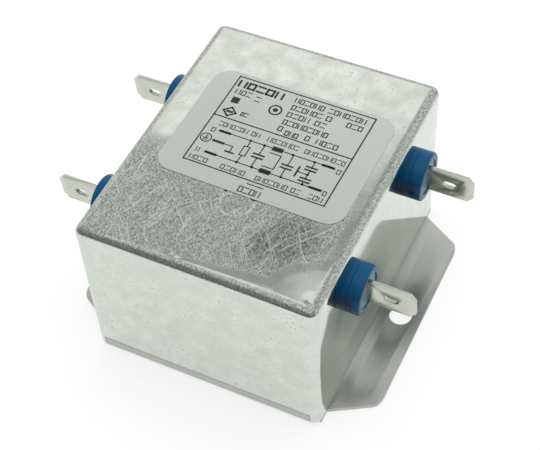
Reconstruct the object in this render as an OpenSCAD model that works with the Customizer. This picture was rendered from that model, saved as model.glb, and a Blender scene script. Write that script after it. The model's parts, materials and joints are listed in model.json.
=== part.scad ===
// Two-line mains interference filter: a drawn sheet can on a base plate with
// two mounting lugs, four flat terminals in moulded bushings, and a filter
// network sealed inside.
//
// X runs from the line terminals (-X) to the load terminals (+X), Y from the
// front to the back, Z up. The origin lies on the mounting plane, under the
// middle of the can. All sizes are in millimetres.

/* [Can] */
// Length of the can along X
can_l = 45.4; // [44:0.2:56]
// Width of the can along Y
can_w = 56.4; // [54:0.2:68]
// Height of the top above the mounting plane
total_h = 34.3; // [33:0.1:42]
// Thickness of the drawn sheet
can_t = 0.6; // [0.4:0.1:0.9]
// Outside radius of the top edges and the upright corners
can_r = 1.7; // [1.2:0.1:2.6]
// Radius of the round mark pressed into the top
mark_r = 3.5; // [2:0.1:5]
// Distance of that mark from the middle, towards the front
mark_y = 11.4; // [6:0.1:14]
// Width of the pressed line
mark_line = 0.8; // [0.4:0.1:1.2]
// Depth of the pressed line
mark_depth = 0.2; // [0.1:0.05:0.3]

/* [Base plate] */
// Thickness of the base plate
plate_t = 0.8; // [0.6:0.1:1.2]
// Outside radius of the fold at the front and back edges
fold_r = 1.2; // [1:0.1:1.8]
// Height of the folded lips above the mounting plane
lip_h = 2.9; // [2.2:0.1:4]
// Gap between the can and the lips
seam_gap = 0.15; // [0.05:0.05:0.3]
// Length over both lugs
lug_span = 62; // [60:0.5:76]
// Width of a lug where it leaves the can
lug_root_w = 49.2; // [44:0.2:52]
// Width of a lug at its outer edge, before its corners are rounded
lug_tip_w = 39.4; // [34:0.2:42]
// Corner radius of the lugs
lug_r = 2.5; // [1.5:0.1:3.5]
// Distance between the two mounting holes
hole_pitch = 54; // [53:0.2:57]
// Diameter of the mounting holes
hole_d = 4.3; // [3.4:0.1:5]

/* [Terminals] */
// Distance between the two terminals of one side
term_pitch = 27.8; // [24:0.2:32]
// Depth of the terminals' centres below the top
term_drop = 9; // [7:0.1:11]
// Width of the tab's blade
tab_w = 6.3; // [4.8:0.1:6.5]
// Thickness of the tab's sheet
tab_t = 0.8; // [0.5:0.1:1]
// Reach of the tab out from the can's wall
tab_reach = 12; // [10:0.1:15]
// Length and depth of the cut across the tip's corners
tip_cut = 1.1; // [0.6:0.1:1.6]
// Length of the bevel that leads into the tip
lead_in = 0.9; // [0.5:0.1:1.4]
// Depth of that bevel on each face
lead_in_depth = 0.22; // [0.1:0.02:0.3]
// Distance of the tab's hole from the tip
slot_from_tip = 4.5; // [3.5:0.1:5.5]
// Length of the tab's hole
slot_l = 2.6; // [2:0.1:3.4]
// Width of the tab's hole
slot_w = 1.7; // [1.2:0.1:2.2]
// Width of the tab's shank, through the bushing and inside
shank_w = 4.2; // [3:0.1:4.6]
// Length of the shank that is free inside the can
tail_l = 4.4; // [4.2:0.1:6]
// Turn of each tab about its own length, in degrees
tab_turn = 5; // [0:1:8]

/* [Bushings] */
// Outside diameter of the bushing
bush_d = 9.3; // [8:0.1:11]
// Length of the bushing outside the can
bush_l = 3.4; // [2.5:0.1:5]
// Chamfer round the bushing's outer edge
bush_edge = 0.35; // [0.2:0.05:0.6]
// Diameter of the shallow recess in the bushing's face
recess_d = 7; // [6.6:0.1:7.6]
// Depth of that recess
recess_depth = 0.4; // [0.2:0.1:0.8]
// Diameter of the neck that passes through the can
neck_d = 6.4; // [5.4:0.1:7]
// Diameter of the collar inside the can
collar_d = 8; // [7.4:0.1:8.4]
// Length of that collar
collar_l = 1.8; // [1.2:0.1:2.4]
// Distance of the fine groove round the bushing from the can's wall
groove_at = 1; // [0.6:0.1:1.6]
// Width of that groove, which is half as deep as wide
groove_w = 0.24; // [0.12:0.02:0.3]
// Clearance round the neck and round the shank
bush_fit = 0.1; // [0.05:0.05:0.2]

/* [Label] */
// Length of the label along X
label_l = 36.1; // [30:0.1:40]
// Width of the label along Y
label_w = 26.6; // [20:0.1:30]
// Corner radius of the label
label_r = 3.4; // [1:0.1:5]
// Thickness of the label
label_t = 0.12; // [0.06:0.02:0.2]
// Place of the label's centre, along X
label_x = 1.1; // [-2:0.1:2]
// Place of the label's centre, along Y
label_y = 3.2; // [0:0.1:5]
// Turn of the label on the can, in degrees
label_turn = -0.9; // [-2:0.1:2]

/* [Choke] */
// Outside diameter of the ring core
core_od = 25; // [23:0.5:26]
// Inside diameter of the ring core
core_bore = 15; // [14:0.5:16]
// Height of the ring core
core_h = 12; // [10:0.5:14]
// Chamfer on the core's edges
core_edge = 0.4; // [0.2:0.1:0.8]
// Diameter of the enamelled winding wire
wire_d = 1.5; // [1:0.1:1.6]
// Turns in each winding
turns = 9; // [6:1:9]
// Free angle between the windings at each end, in degrees
free_angle = 30; // [28:1:40]
// Clearance between the wire and the core
wire_gap = 0.1; // [0.05:0.05:0.2]
// Thickness of the divider in the core's hole
divider_t = 1.2; // [0.8:0.1:1.4]
// Height of the divider above the core
divider_rise = 2.5; // [2:0.1:4]

/* [Capacitors and resistor] */
// Length of a line-to-line capacitor, along Y
xcap_l = 18; // [16:0.5:20]
// Thickness of a line-to-line capacitor, along X
xcap_t = 5.5; // [4.5:0.1:5.8]
// Height of a line-to-line capacitor
xcap_h = 11; // [9:0.5:13]
// Distance between its legs
xcap_pitch = 15; // [13:0.5:15]
// Length of a line-to-earth capacitor, along X
ycap_l = 13; // [12:0.5:14]
// Thickness of a line-to-earth capacitor, along Y
ycap_t = 5; // [4:0.1:6]
// Height of a line-to-earth capacitor
ycap_h = 10; // [8:0.5:12]
// Distance between its legs
ycap_pitch = 10; // [9:0.5:11]
// Place of the line-to-earth capacitors' centres, along X
ycap_x = 9; // [7:0.5:10]
// Diameter of the capacitors' legs
leg_d = 0.8; // [0.6:0.1:0.8]
// Space between a capacitor and the can's wall
cap_gap = 0.8; // [0.5:0.1:1]
// Diameter of the discharge resistor's body
res_d = 3.2; // [2.4:0.1:3.4]
// Length of the discharge resistor's body
res_l = 9; // [6:0.5:11]
// Length of the caps at its ends
res_cap_l = 2.2; // [1.4:0.1:2.8]
// Height of those caps above the middle of the body
res_cap_rise = 0.2; // [0.1:0.05:0.4]
// Diameter of its leads
res_lead_d = 0.6; // [0.5:0.1:0.7]

/* [Sealing resin] */
// Thickness of the resin layer on the base plate
resin_t = 2.4; // [1.8:0.1:3]
// Space left for solder between a wire and a tab, or the can
solder_gap = 0.25; // [0.2:0.05:0.3]
// Clearance between parts that stand on or in each other
seat_gap = 0.05; // [0.02:0.01:0.1]

/* [Hidden] */
$fn = 64;
cut = 1;

// Inside faces of the can
in_x = can_l/2 - can_t;
in_y = can_w/2 - can_t;

// Length of the folded lips, along the straight part of the can's walls
lip_l = can_l - 2*can_r;

// Radius of the punch's edge that leaves the round mark
mark_punch_r = (mark_line*mark_line/4 + mark_depth*mark_depth)/(2*mark_depth);

// Top of the resin, on which the inner pieces stand
floor_z = plate_t + resin_t;

// Terminals: the outer wall is at x = can_l/2
term_y = term_pitch/2;
term_z = total_h - term_drop;
blade_from = bush_l - recess_depth;
collar_face = can_t + collar_l;
tail_end = collar_face + tail_l;

// Where the wires meet a tail, measured inwards from the can's outer wall,
// and how far they rise above the tail's middle
tail_margin = 0.35;
wire_space = 0.3;
winding_at = tail_end - wire_d/2 - tail_margin;
res_at = winding_at - wire_d/2 - res_lead_d/2 - wire_space;
xleg_at = res_at - res_lead_d/2 - leg_d/2 - wire_space;
tail_face = tab_t/2 + solder_gap;
wire_top = term_z + shank_w/4;

// Choke: path of the wire round the core's section
wire_out = core_od/2 + wire_gap + wire_d/2;
wire_in = core_bore/2 - wire_gap - wire_d/2;
wire_z = core_h/2 + wire_gap + wire_d/2;
bend_share = 0.62;
wire_bend = wire_d*bend_share;
choke_z = floor_z + seat_gap + wire_z + wire_d/2;
wire_sides = 8;

// Leads of the windings: the straight drop below a tail, the bend that
// follows, measured inwards, towards the middle and up from the coil's top,
// and the place outside the coil where they reach it
lead_drop = 1;
lead_bend = [0.6, 2, 2.4];
lead_landing = [1.6, 1.4, 0.6];

// Capacitors
xcap_x = in_x - cap_gap - xcap_t/2;
ycap_y = in_y - cap_gap - ycap_t/2;

// Feet under the ends of a capacitor's case
foot_l = 0.8;
foot_h = 0.5;

// Legs: how far they run straight out of a case, and where the leg that goes
// to the can's wall bends and ends, above the case
leg_rise = 2;
leg_sides = 8;
wall_bend_rise = 6;
wall_end_rise = 10;

// ---------------------------------------------------------------- helpers

// Rectangle about the origin with round corners
module round_rect(l, w, r) {
    square([l, w - 2*r], center = true);
    square([l - 2*r, w], center = true);
    for (sx = [-1, 1], sy = [-1, 1])
        translate([sx*(l/2 - r), sy*(w/2 - r)]) circle(r);
}

// Block from z = bottom up to z = top, with round upright corners, round
// top edges and ball corners between them
module drawn_block(l, w, bottom, top, r) {
    translate([0, 0, bottom]) linear_extrude(top - r - bottom) round_rect(l, w, r);
    translate([0, 0, bottom]) linear_extrude(top - bottom)
        square([l - 2*r, w - 2*r], center = true);
    for (sy = [-1, 1])
        translate([0, sy*(w/2 - r), top - r]) rotate([0, 90, 0])
            cylinder(r = r, h = l - 2*r, center = true);
    for (sx = [-1, 1])
        translate([sx*(l/2 - r), 0, top - r]) rotate([90, 0, 0])
            cylinder(r = r, h = w - 2*r, center = true);
    for (sx = [-1, 1], sy = [-1, 1])
        translate([sx*(l/2 - r), sy*(w/2 - r), top - r]) sphere(r);
}

// Places a terminal piece, drawn with its axis along +X from the can's outer
// wall, at one of the four terminals: side -1 line, 1 load; row 1 neutral,
// -1 live
module at_terminal(side, row) {
    translate([side*can_l/2, row*term_y, term_z])
        mirror([side < 0 ? 1 : 0, 0, 0]) children();
}

function unit(v) = v/norm(v);
function across(u, t) = unit(u - (u*t)*t);

// Direction of a path at each of its points
function headings(p) = [for (i = [0:len(p) - 1])
    unit(p[min(i + 1, len(p) - 1)] - p[max(i - 1, 0)])];

// A side direction carried along the path without twist
function carried(t, i, u) =
    i == len(t) ? [] : let (v = across(u, t[i])) concat([v], carried(t, i + 1, v));

// Round wire along a path of points
module wire(path, d, sides, start_side) {
    t = headings(path);
    u = carried(t, 0, start_side);
    n = len(path);
    points = [for (i = [0:n - 1], k = [0:sides - 1])
        path[i] + d/2*(cos(360*k/sides)*u[i] + sin(360*k/sides)*cross(t[i], u[i]))];
    walls = [for (i = [0:n - 2], k = [0:sides - 1])
        let (a = i*sides + k, b = i*sides + (k + 1) % sides)
            [a, a + sides, b + sides, b]];
    first = [for (k = [0:sides - 1]) k];
    last = [for (k = [sides - 1:-1:0]) (n - 1)*sides + k];
    polyhedron(points, concat(walls, [first, last]));
}

// -------------------------------------------------------------- enclosure

// The can stands on the base plate
module can() {
    gap_l = lip_l + 2*seam_gap;
    color("silver") difference() {
        drawn_block(can_l, can_w, plate_t, total_h, can_r);
        drawn_block(2*in_x, 2*in_y, plate_t - cut, total_h - can_t, can_r - can_t);
        // The front and back walls stop above the lips
        translate([-gap_l/2, -can_w/2 - cut, 0])
            cube([gap_l, can_w + 2*cut, lip_h + seam_gap]);
        // Holes for the bushings' necks
        for (row = [-1, 1])
            translate([0, row*term_y, term_z]) rotate([0, 90, 0])
                cylinder(d = neck_d + 2*bush_fit, h = can_l + 2*cut, center = true);
        // Round mark pressed into the top
        translate([0, -mark_y, total_h - mark_depth + mark_punch_r])
            rotate_extrude() translate([mark_r, 0]) circle(mark_punch_r);
    }
}

// Section of the plate and its folded lips, in the plane across X
module channel_section() {
    inner_r = fold_r - plate_t;
    difference() {
        union() {
            translate([-can_w/2 + fold_r, 0]) square([can_w - 2*fold_r, lip_h]);
            translate([-can_w/2, fold_r]) square([can_w, lip_h - fold_r]);
            for (sy = [-1, 1]) translate([sy*(can_w/2 - fold_r), fold_r]) circle(fold_r);
        }
        translate([-can_w/2 + fold_r, plate_t]) square([can_w - 2*fold_r, lip_h]);
        translate([-can_w/2 + plate_t, fold_r]) square([can_w - 2*plate_t, lip_h]);
        for (sy = [-1, 1]) translate([sy*(can_w/2 - fold_r), fold_r]) circle(inner_r);
    }
}

// Outline of the lug on the +X side, from inside the can to its outer edge
module lug_outline() {
    root_x = can_l/2;
    tip_x = lug_span/2;
    half_root = lug_root_w/2;
    half_tip = lug_tip_w/2;
    // Angle of the slanted edge, measured from the outer edge
    slant = atan2(half_root - half_tip, tip_x - root_x);
    reach = lug_r*tan((90 - slant)/2);
    centre = [tip_x - lug_r, half_tip - reach];
    tangent = centre + lug_r*[sin(slant), cos(slant)];
    polygon([[root_x - cut, -half_root], [root_x, -half_root],
             [tangent[0], -tangent[1]], [centre[0], -centre[1]],
             [tip_x, -centre[1]], [tip_x, centre[1]],
             centre, tangent, [root_x, half_root], [root_x - cut, half_root]]);
    for (sy = [-1, 1]) translate([centre[0], sy*centre[1]]) circle(lug_r);
}

module base_plate() {
    color("lightgray") difference() {
        union() {
            rotate([90, 0, 90]) linear_extrude(lip_l, center = true) channel_section();
            translate([-can_l/2, -can_w/2 + fold_r, 0])
                cube([can_l, can_w - 2*fold_r, plate_t]);
            for (side = [0, 1]) mirror([side, 0, 0])
                linear_extrude(plate_t) lug_outline();
        }
        for (side = [-1, 1]) translate([side*hole_pitch/2, 0, -cut])
            cylinder(d = hole_d, h = plate_t + 2*cut);
    }
}

module label() {
    color("gainsboro") translate([label_x, label_y, total_h])
        rotate([0, 0, label_turn]) linear_extrude(label_t)
            round_rect(label_l, label_w, label_r);
}

// -------------------------------------------------------------- terminals

// Bushing, turned about +X, with the can's outer wall at x = 0
module bushing_shape() {
    difference() {
        rotate([0, 90, 0]) rotate_extrude() polygon([
            [0, -collar_face], [collar_d/2, -collar_face], [collar_d/2, -can_t],
            [neck_d/2, -can_t], [neck_d/2, 0], [bush_d/2, 0],
            [bush_d/2, groove_at - groove_w/2], [bush_d/2 - groove_w/2, groove_at],
            [bush_d/2, groove_at + groove_w/2], [bush_d/2, bush_l - bush_edge], [bush_d/2 - bush_edge, bush_l],
            [recess_d/2, bush_l], [recess_d/2, blade_from], [0, blade_from]]);
        rotate([tab_turn, 0, 0])
            cube([4*tab_reach, tab_t + 2*bush_fit, shank_w + 2*bush_fit], center = true);
    }
}

module bushing(side, row) {
    color("steelblue") at_terminal(side, row) bushing_shape();
}

// Outline of the tab in its own plane: X along it, Y across it
module tab_outline() {
    half = tab_w/2;
    difference() {
        union() {
            polygon([[blade_from, -half], [tab_reach - tip_cut, -half],
                     [tab_reach, -half + tip_cut], [tab_reach, half - tip_cut],
                     [tab_reach - tip_cut, half], [blade_from, half]]);
            translate([-tail_end, -shank_w/2]) square([tail_end + blade_from + cut, shank_w]);
        }
        for (end = [-1, 1])
            translate([tab_reach - slot_from_tip + end*(slot_l - slot_w)/2, 0])
                circle(d = slot_w);
        translate([tab_reach - slot_from_tip, 0])
            square([slot_l - slot_w, slot_w], center = true);
    }
}

module tab_shape() {
    rotate([tab_turn, 0, 0]) difference() {
        rotate([90, 0, 0]) linear_extrude(tab_t, center = true) tab_outline();
        // Bevels that lead into the tip
        for (face = [0, 1]) mirror([0, face, 0])
            translate([0, 0, -tab_w]) linear_extrude(2*tab_w)
                polygon([[tab_reach - lead_in, tab_t/2],
                         [tab_reach + cut, tab_t/2 - lead_in_depth*(1 + cut/lead_in)],
                         [tab_reach + cut, tab_t], [tab_reach - lead_in, tab_t]]);
    }
}

module tab(side, row) {
    color("darkkhaki") at_terminal(side, row) tab_shape();
}

// ------------------------------------------------------------------ choke

module choke_core() {
    half_h = core_h/2;
    color("dimgray") translate([0, 0, choke_z]) rotate_extrude() polygon([
        [core_bore/2 + core_edge, -half_h], [core_od/2 - core_edge, -half_h],
        [core_od/2, -half_h + core_edge], [core_od/2, half_h - core_edge],
        [core_od/2 - core_edge, half_h], [core_bore/2 + core_edge, half_h],
        [core_bore/2, half_h - core_edge], [core_bore/2, -half_h + core_edge]]);
}

module choke_divider() {
    // Its corners clear the core's bore
    r = core_bore/2 - seat_gap;
    w = 2*sqrt(r*r - divider_t*divider_t/4);
    top = choke_z + core_h/2 + divider_rise;
    color("ivory") translate([-w/2, -divider_t/2, floor_z])
        cube([w, divider_t, top - floor_z]);
}

// One corner of the wire's path round the core's section: the distance from
// the core's axis and the height, on an arc about [r, z]
function corner(r, z, from) = [for (a = [0:45:90])
    [r + wire_bend*cos(from - a), z + wire_bend*sin(from - a)]];

// One turn, clockwise from the top outer corner: down, in, up and out
turn_path = concat(
    corner(wire_out - wire_bend, wire_z - wire_bend, 90),
    corner(wire_out - wire_bend, -wire_z + wire_bend, 0),
    corner(wire_in + wire_bend, -wire_z + wire_bend, -90),
    corner(wire_in + wire_bend, wire_z - wire_bend, -180));

// Point number i of a winding that runs round the core from the load side
function winding_point(i, i_end) =
    let (s = turn_path[i % len(turn_path)],
         angle = free_angle/2 + (180 - free_angle)*i/i_end)
        [s[0]*cos(angle), s[0]*sin(angle), choke_z + s[1]];

// Lead from a tail down to the winding, on the load side
function winding_lead() =
    let (x = can_l/2 - winding_at, y = term_y - tail_face - wire_d/2,
         coil_x = wire_out*cos(free_angle/2), coil_y = wire_out*sin(free_angle/2),
         coil_top = choke_z + wire_z)
        [[x, y, wire_top],
         [x, y, term_z - shank_w/2 - lead_drop],
         [x - lead_bend[0], y - lead_bend[1], coil_top + lead_bend[2]],
         [coil_x + lead_landing[0], coil_y + lead_landing[1], coil_top + lead_landing[2]]];

function reversed(p) = [for (i = [len(p) - 1:-1:0]) p[i]];
function mirrored_x(p) = [for (q = p) [-q[0], q[1], q[2]]];

module winding() {
    steps = len(turn_path);
    i_end = turns*steps;
    coil = [for (i = [1:i_end + 1]) winding_point(i, i_end)];
    path = concat(winding_lead(), coil, reversed(mirrored_x(winding_lead())));
    wire(path, wire_d, wire_sides, [0, 1, 0]);
}

module winding_neutral() {
    color("peru") winding();
}

module winding_live() {
    color("peru") mirror([0, 1, 0]) winding();
}

// ------------------------------------------------- capacitors and resistor

// Moulded box capacitor standing on z = 0, its legs left to the caller
module capacitor_box(l, w, h) {
    difference() {
        translate([-l/2, -w/2, 0]) cube([l, w, h]);
        // Recess between the feet
        translate([-l/2 + foot_l, -w/2 - cut, -cut])
            cube([l - 2*foot_l, w + 2*cut, foot_h + cut]);
    }
}

// Line-to-line capacitor across the two tabs of the load side
module x_capacitor() {
    top = floor_z + xcap_h;
    color("khaki") translate([xcap_x, 0, floor_z]) rotate([0, 0, 90])
        capacitor_box(xcap_l, xcap_t, xcap_h);
    for (row = [0, 1]) mirror([0, row, 0]) {
        leg_y = term_y - tail_face - leg_d/2;
        color("silver") wire([
            [can_l/2 - xleg_at, xcap_pitch/2, top - leg_rise],
            [can_l/2 - xleg_at, xcap_pitch/2, top + leg_rise],
            [can_l/2 - xleg_at, leg_y, term_z - shank_w/2 - leg_rise],
            [can_l/2 - xleg_at, leg_y, wire_top]], leg_d, leg_sides, [1, 0, 0]);
    }
}

// Line-to-earth capacitor: one leg to the load tab, one to the can's wall
module y_capacitor() {
    top = floor_z + ycap_h;
    tab_leg_y = term_y + tail_face + leg_d/2;
    wall_leg_y = in_y - seat_gap - leg_d/2;
    tab_leg_x = ycap_x + ycap_pitch/2;
    wall_leg_x = ycap_x - ycap_pitch/2;
    color("royalblue") translate([ycap_x, ycap_y, floor_z])
        capacitor_box(ycap_l, ycap_t, ycap_h);
    color("silver") wire([
        [tab_leg_x, ycap_y, top - leg_rise],
        [tab_leg_x, ycap_y, top + leg_rise],
        [can_l/2 - winding_at, tab_leg_y, term_z - shank_w/2 - leg_rise],
        [can_l/2 - winding_at, tab_leg_y, wire_top]], leg_d, leg_sides, [1, 0, 0]);
    color("silver") wire([
        [wall_leg_x, ycap_y, top - leg_rise],
        [wall_leg_x, ycap_y, top + leg_rise],
        [wall_leg_x, wall_leg_y, top + wall_bend_rise],
        [wall_leg_x, wall_leg_y, top + wall_end_rise]], leg_d, leg_sides, [1, 0, 0]);
}

module line_x_capacitor() {
    mirror([1, 0, 0]) x_capacitor();
}

module load_x_capacitor() {
    x_capacitor();
}

module neutral_y_capacitor() {
    y_capacitor();
}

module live_y_capacitor() {
    mirror([0, 1, 0]) y_capacitor();
}

// Axial resistor between the two tails of the line side
module discharge_resistor() {
    lead_l = 2*(term_y - tail_face);
    color("tan") translate([-can_l/2 + res_at, 0, term_z]) rotate([90, 0, 0]) {
        cylinder(d = res_lead_d, h = lead_l, center = true);
        cylinder(d = res_d - 2*res_cap_rise, h = res_l, center = true);
        for (end = [-1, 1]) translate([0, 0, end*(res_l - res_cap_l)/2])
            cylinder(d = res_d, h = res_cap_l, center = true);
    }
}

module sealing_resin() {
    color("dimgray") translate([0, 0, plate_t]) linear_extrude(resin_t)
        round_rect(2*(in_x - seat_gap), can_w - 2*fold_r - 2*seat_gap, can_r - can_t);
}

can();
base_plate();
label();
bushing(-1, 1);  // bushing_line_neutral
bushing(-1, -1);  // bushing_line_live
bushing(1, 1);  // bushing_load_neutral
bushing(1, -1);  // bushing_load_live
tab(-1, 1);  // tab_line_neutral
tab(-1, -1);  // tab_line_live
tab(1, 1);  // tab_load_neutral
tab(1, -1);  // tab_load_live
choke_core();
choke_divider();
winding_neutral();
winding_live();
line_x_capacitor();
load_x_capacitor();
neutral_y_capacitor();
live_y_capacitor();
discharge_resistor();
sealing_resin();
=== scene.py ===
# %% [markdown]
# # A mains line filter in a tin-plated can
#
# The object is a small metal box that keeps interference off a mains line. On a bench it comes
# apart into a drawn can, a folded base plate with two lugs, a printed film label, four blue
# bushings with flat push-on tabs, and a filter network that nobody sees once it is closed.
# The measured model is loaded first, because every piece below takes its place from it.

# %% Load the measured model
import json
import math

import bpy
from mathutils import Matrix, Quaternion, Vector, noise


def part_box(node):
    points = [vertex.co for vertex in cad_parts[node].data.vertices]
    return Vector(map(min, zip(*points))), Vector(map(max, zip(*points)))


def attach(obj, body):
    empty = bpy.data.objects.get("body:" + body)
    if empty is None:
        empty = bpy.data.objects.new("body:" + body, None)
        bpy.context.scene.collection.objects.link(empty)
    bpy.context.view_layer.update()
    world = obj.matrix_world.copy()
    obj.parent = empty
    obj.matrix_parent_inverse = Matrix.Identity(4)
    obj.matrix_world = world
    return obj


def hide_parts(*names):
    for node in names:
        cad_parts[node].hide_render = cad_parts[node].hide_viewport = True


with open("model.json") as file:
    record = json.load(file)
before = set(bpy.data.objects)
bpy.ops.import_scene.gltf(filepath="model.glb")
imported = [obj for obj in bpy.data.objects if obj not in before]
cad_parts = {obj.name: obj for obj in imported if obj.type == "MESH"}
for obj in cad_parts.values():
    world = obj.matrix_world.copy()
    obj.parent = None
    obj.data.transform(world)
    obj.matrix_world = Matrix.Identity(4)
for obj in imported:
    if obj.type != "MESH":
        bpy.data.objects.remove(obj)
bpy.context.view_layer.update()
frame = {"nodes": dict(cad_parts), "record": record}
MM = 0.001

# %% [markdown]
# ## The camera
#
# A low box shows best from above one corner, where the label, the long front and the terminals of
# one side are all in view. The camera is given in plain terms: what it aims at, how far round and
# how high it stands, how far away it is, and how it is rolled.

# %% Camera
AIM = Vector((1.45, -2.05, 17.6)) * MM
AZIMUTH, ELEVATION, ROLL = (math.radians(a) for a in (28.71, 50.62, 4.13))
DISTANCE = 243.1 * MM
LENS_MM = 87.96

towards_camera = Vector((math.sin(AZIMUTH) * math.cos(ELEVATION),
                         -math.cos(AZIMUTH) * math.cos(ELEVATION),
                         math.sin(ELEVATION)))
bpy.ops.object.camera_add(location=AIM + DISTANCE * towards_camera)
camera = bpy.context.object
camera.data.lens = LENS_MM
camera.data.clip_start = 10 * MM
camera.rotation_mode = "QUATERNION"
camera.rotation_quaternion = ((-towards_camera).to_track_quat("-Z", "Y")
                              @ Quaternion((0, 0, 1), -ROLL))
bpy.context.scene.camera = camera
bpy.context.scene.view_settings.view_transform = "Standard"
print("camera at", [round(v / MM) for v in camera.location], "mm")

# %% [markdown]
# ## Adding shader nodes
#
# Every finish below is a small network of nodes. One function adds a node, sets its options and
# either fills or links its inputs, which may be named or numbered. Colours are written as sRGB
# hex values, as in a paint program, and one function turns them into the linear values that the
# renderer counts in.

# %% Helpers for materials
SOFT = {"interpolation_type": "SMOOTHSTEP"}
COLOUR = {"data_type": "RGBA"}
PER_MM = 1 / MM


def add_node(tree, kind, inputs=None, **settings):
    """Adds one node. An input is a value, another node, or one output of a node."""
    made = tree.nodes.new(kind)
    for name, value in settings.items():
        setattr(made, name, value)
    for key, value in (inputs or {}).items():
        if isinstance(value, bpy.types.Node):
            value = value.outputs[0]
        if isinstance(value, bpy.types.NodeSocket):
            tree.links.new(value, made.inputs[key])
        else:
            made.inputs[key].default_value = value
    return made


def linear(hex_colour):
    """Linear RGBA of an sRGB colour such as #8090a0."""
    channels = [int(hex_colour[i:i + 2], 16) / 255 for i in (1, 3, 5)]
    return [c / 12.92 if c <= 0.04045 else ((c + 0.055) / 1.055) ** 2.4 for c in channels] + [1.0]


def new_material(name):
    """An empty material: its node tree, its shader and the piece's own coordinates."""
    material = bpy.data.materials.new(name)
    material.use_nodes = True
    tree = material.node_tree
    tree.nodes.clear()
    shader = add_node(tree, "ShaderNodeBsdfPrincipled")
    add_node(tree, "ShaderNodeOutputMaterial", {"Surface": shader})
    place = add_node(tree, "ShaderNodeTexCoord").outputs["Object"]
    return material, tree, shader, place


# %% [markdown]
# ## The studio
#
# Bright metal looks like what it mirrors, so the room matters more than the lamps. A tabletop
# studio has a white sweep behind the object, a wide diffuser overhead, a dimmer gap between the
# two, and the dark room on the camera's side. The world holds that as zones of brightness, blended
# by direction: a node called Map Range turns a direction's height into a soft step. In a mirror
# image the diffuser counts as white paper, so that no edge burns out, and what the camera itself
# sees past the floor's far end is an even pale tone.

# %% World
HORIZON = 1.0
DARK_ROOM = 0.20
SWEEP = 1.25
ROOM = 0.42
GAP = 0.50
OVERHEAD = 2.3
OVERHEAD_MIRRORED = 1.2
BEHIND_ZONE = (-0.25, 0.15)
HORIZON_ZONE = (0.12, 0.24)
GAP_ZONE = (0.71, 0.79)
OVERHEAD_ZONE = (0.825, 0.87)

world = bpy.data.worlds.new("tabletop studio")
bpy.context.scene.world = world
world.use_nodes = True
sky = world.node_tree
sky.nodes.clear()
heading = add_node(sky, "ShaderNodeTexCoord").outputs["Generated"]
axes = add_node(sky, "ShaderNodeSeparateXYZ", {0: heading}).outputs
zones = []
for axis, (first, last) in (("Y", BEHIND_ZONE), ("Z", HORIZON_ZONE), ("Z", GAP_ZONE), ("Z", OVERHEAD_ZONE)):
    zones.append(add_node(sky, "ShaderNodeMapRange", {0: axes[axis], 1: first, 2: last}, **SOFT))
behind, above_horizon, into_gap, into_overhead = zones
low = add_node(sky, "ShaderNodeMix", {0: behind, 2: DARK_ROOM, 3: HORIZON})
middle = add_node(sky, "ShaderNodeMix", {0: behind, 2: ROOM, 3: SWEEP})
level = add_node(sky, "ShaderNodeMix", {0: above_horizon, 2: low, 3: middle})
level = add_node(sky, "ShaderNodeMix", {0: into_gap, 2: level, 3: GAP})
rays = add_node(sky, "ShaderNodeLightPath").outputs
overhead = add_node(sky, "ShaderNodeMix", {0: rays["Is Glossy Ray"], 2: OVERHEAD, 3: OVERHEAD_MIRRORED})
level = add_node(sky, "ShaderNodeMix", {0: into_overhead, 2: level, 3: overhead})
level = add_node(sky, "ShaderNodeMix", {0: rays["Is Camera Ray"], 2: level, 3: 1.0})
background = add_node(sky, "ShaderNodeBackground", {"Strength": level})
add_node(sky, "ShaderNodeOutputWorld", {"Surface": background})
print("world:", len(sky.nodes), "nodes")

# %% [markdown]
# The table is a sheet of white acrylic lit from below. To the camera, and in every mirror image,
# it glows almost white by itself. The rest of its light it scatters, and only that part can be
# shaded, so the object keeps a soft shadow without a grey floor around it. It ends a forearm's
# length in front of the object, where the dark room begins.

# %% Table
FLOOR_SIZE = 4.0
FLOOR_FRONT = 0.45
GLOW = 0.70
SCATTER = "#a2a2a2"

bpy.ops.mesh.primitive_plane_add(size=FLOOR_SIZE, location=(0, FLOOR_SIZE / 2 - FLOOR_FRONT, 0))
floor = bpy.context.object
floor.name = "floor"
acrylic, tree, shader, place = new_material("white acrylic, lit from below")
tree.nodes.remove(shader)
rays = add_node(tree, "ShaderNodeLightPath").outputs
seen = add_node(tree, "ShaderNodeMath", {0: rays["Is Camera Ray"], 1: rays["Is Glossy Ray"]},
                operation="MAXIMUM")
seen = add_node(tree, "ShaderNodeMath", {0: seen, 1: rays["Is Transmission Ray"]},
                operation="MAXIMUM")
glow = add_node(tree, "ShaderNodeMath", {0: seen, 1: GLOW}, operation="MULTIPLY")
scatter = add_node(tree, "ShaderNodeBsdfDiffuse", {"Color": linear(SCATTER)})
light = add_node(tree, "ShaderNodeEmission", {"Strength": glow})
both = add_node(tree, "ShaderNodeAddShader", {0: scatter, 1: light})
tree.links.new(both.outputs[0], tree.nodes["Material Output"].inputs["Surface"])
floor.data.materials.append(acrylic)
print("table:", FLOOR_SIZE, "m square")

# %% [markdown]
# ## Working as by hand
#
# The pieces are shaped with the operators of edit mode. An operator acts on everything that is
# selected, so each step starts by deselecting all and then selects faces, edges or corners by
# their place. Three small helpers do that, and others apply a modifier or subtract a cutter.

# %% Helpers for modelling
NEAR = 0.005 * MM


def start(primitive, name, **settings):
    """Adds a primitive with nothing else selected, and names it."""
    bpy.ops.object.select_all(action="DESELECT")
    primitive(**settings)
    made = bpy.context.object
    made.name = made.data.name = name
    return made


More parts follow.
